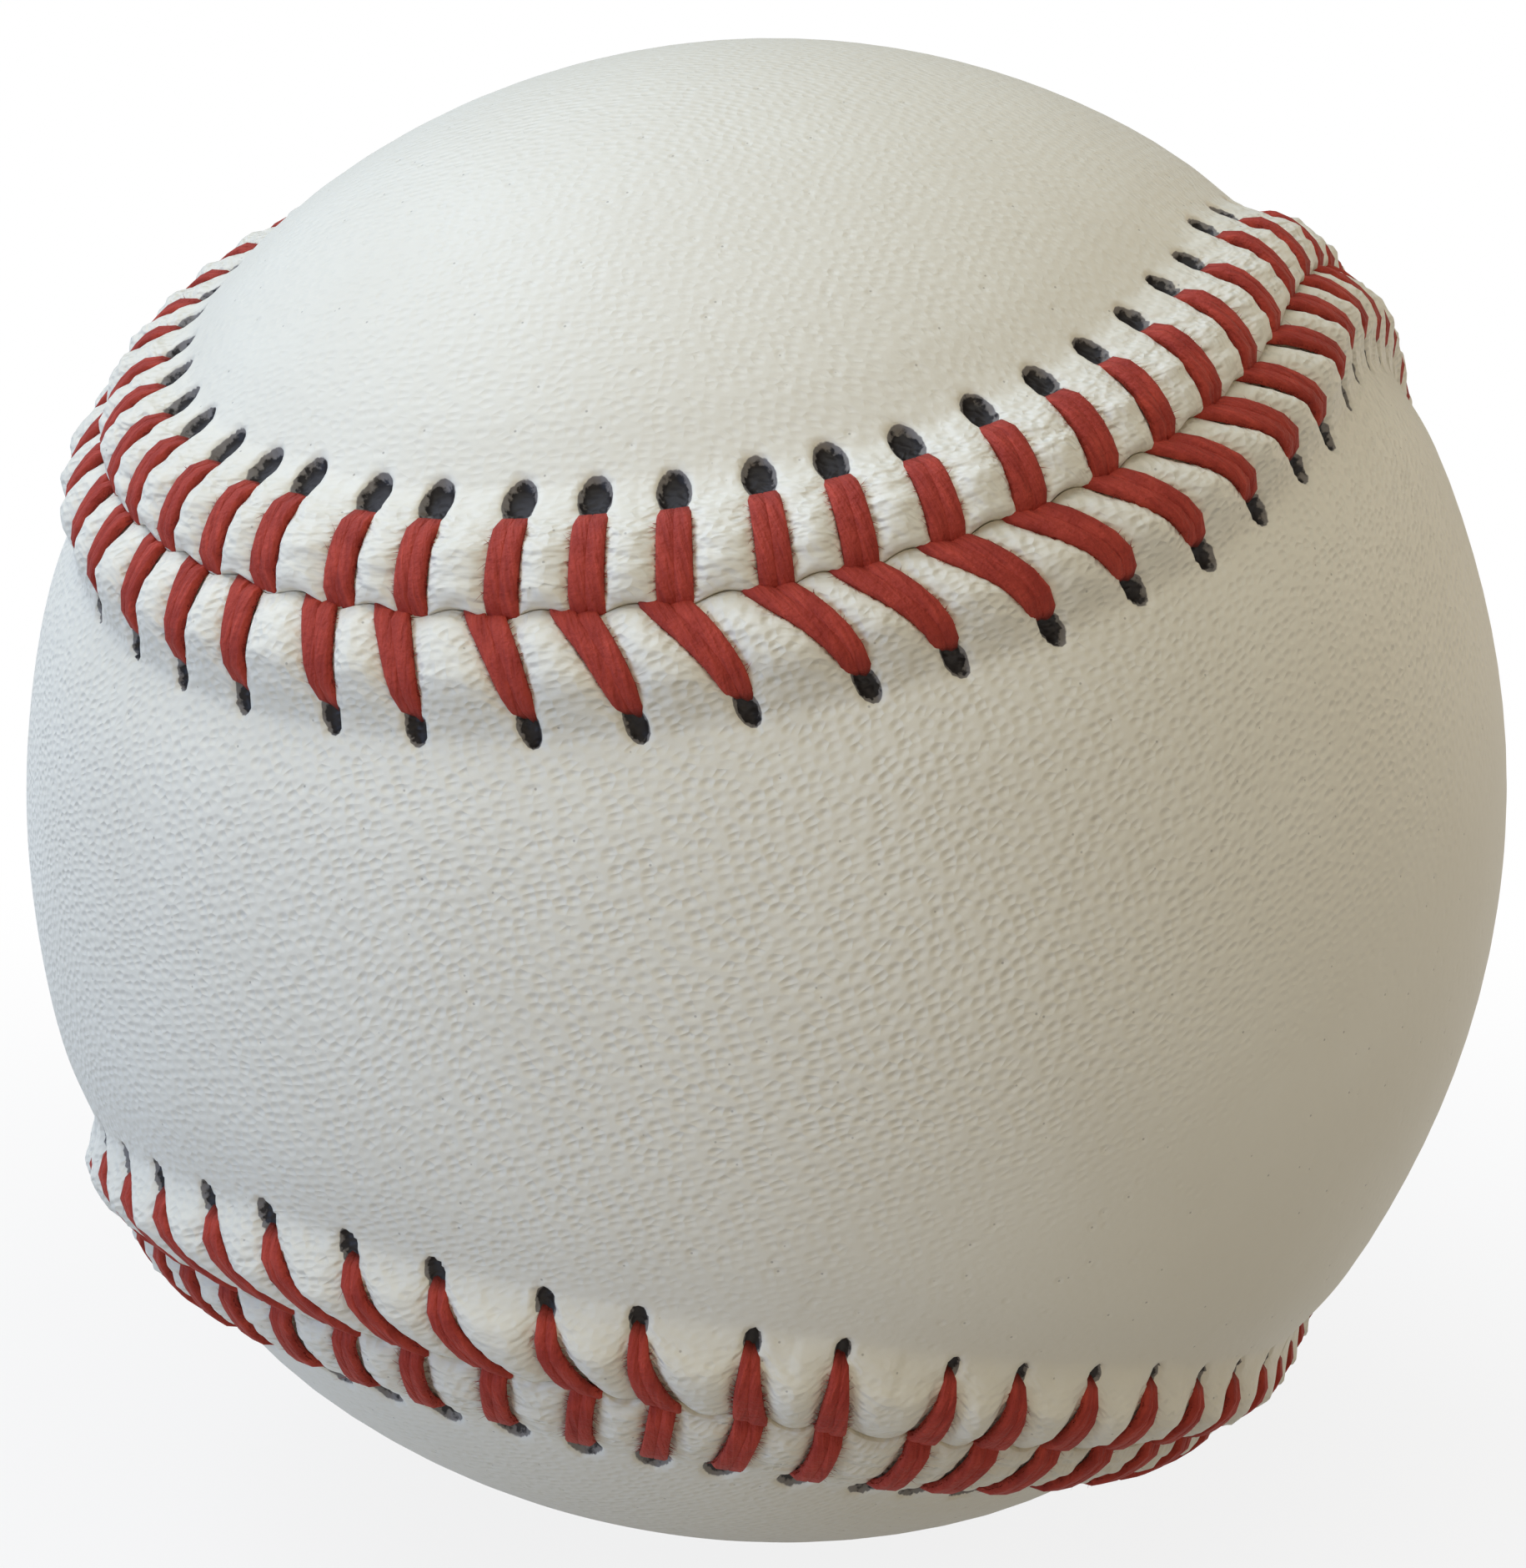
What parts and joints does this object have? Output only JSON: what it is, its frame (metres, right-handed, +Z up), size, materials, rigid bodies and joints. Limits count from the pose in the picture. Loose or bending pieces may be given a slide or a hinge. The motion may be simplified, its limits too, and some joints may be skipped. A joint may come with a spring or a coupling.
{
  "type": "baseball",
  "caption": "Stitched leather ball for bat-and-ball games, with a cork and rubber centre, wound yarn layers and a raised red seam.",
  "frame": {"origin": "the middle of the ball", "axes": "+Z up through the middle of the back panel's upper lobe side, +Y to the back, where the back panel's waist stands upright, and -Y to the front, where the front panel's waist lies level; +X to the right"},
  "size_m": [0.0736, 0.0736, 0.0736],
  "materials": {
    "cork": "composition cork, ground and moulded",
    "black_rubber": "moulded, matt",
    "red_rubber": "moulded, matt",
    "grey_wool": "spun wool yarn, wound under tension",
    "white_wool": "spun wool yarn, wound under tension",
    "white_cotton": "fine cotton blend yarn, wound under tension",
    "latex_cement": "dried latex film, satin",
    "cover_leather": "alum-tanned hide, fine grain, satin",
    "red_thread": "waxed cotton, satin"
  },
  "bodies": {
    "root": {"cork_core": "cork", "inner_rubber_upper": "black_rubber", "inner_rubber_lower": "black_rubber", "rubber_gasket": "red_rubber", "outer_rubber_layer": "red_rubber", "first_winding": "grey_wool", "second_winding": "white_wool", "third_winding": "grey_wool", "finishing_winding": "white_cotton", "cement_coat": "latex_cement", "cover_panel_front": "cover_leather", "cover_panel_back": "cover_leather", "first_thread_strand": "red_thread", "second_thread_strand": "red_thread"}
  },
  "joints": []
}
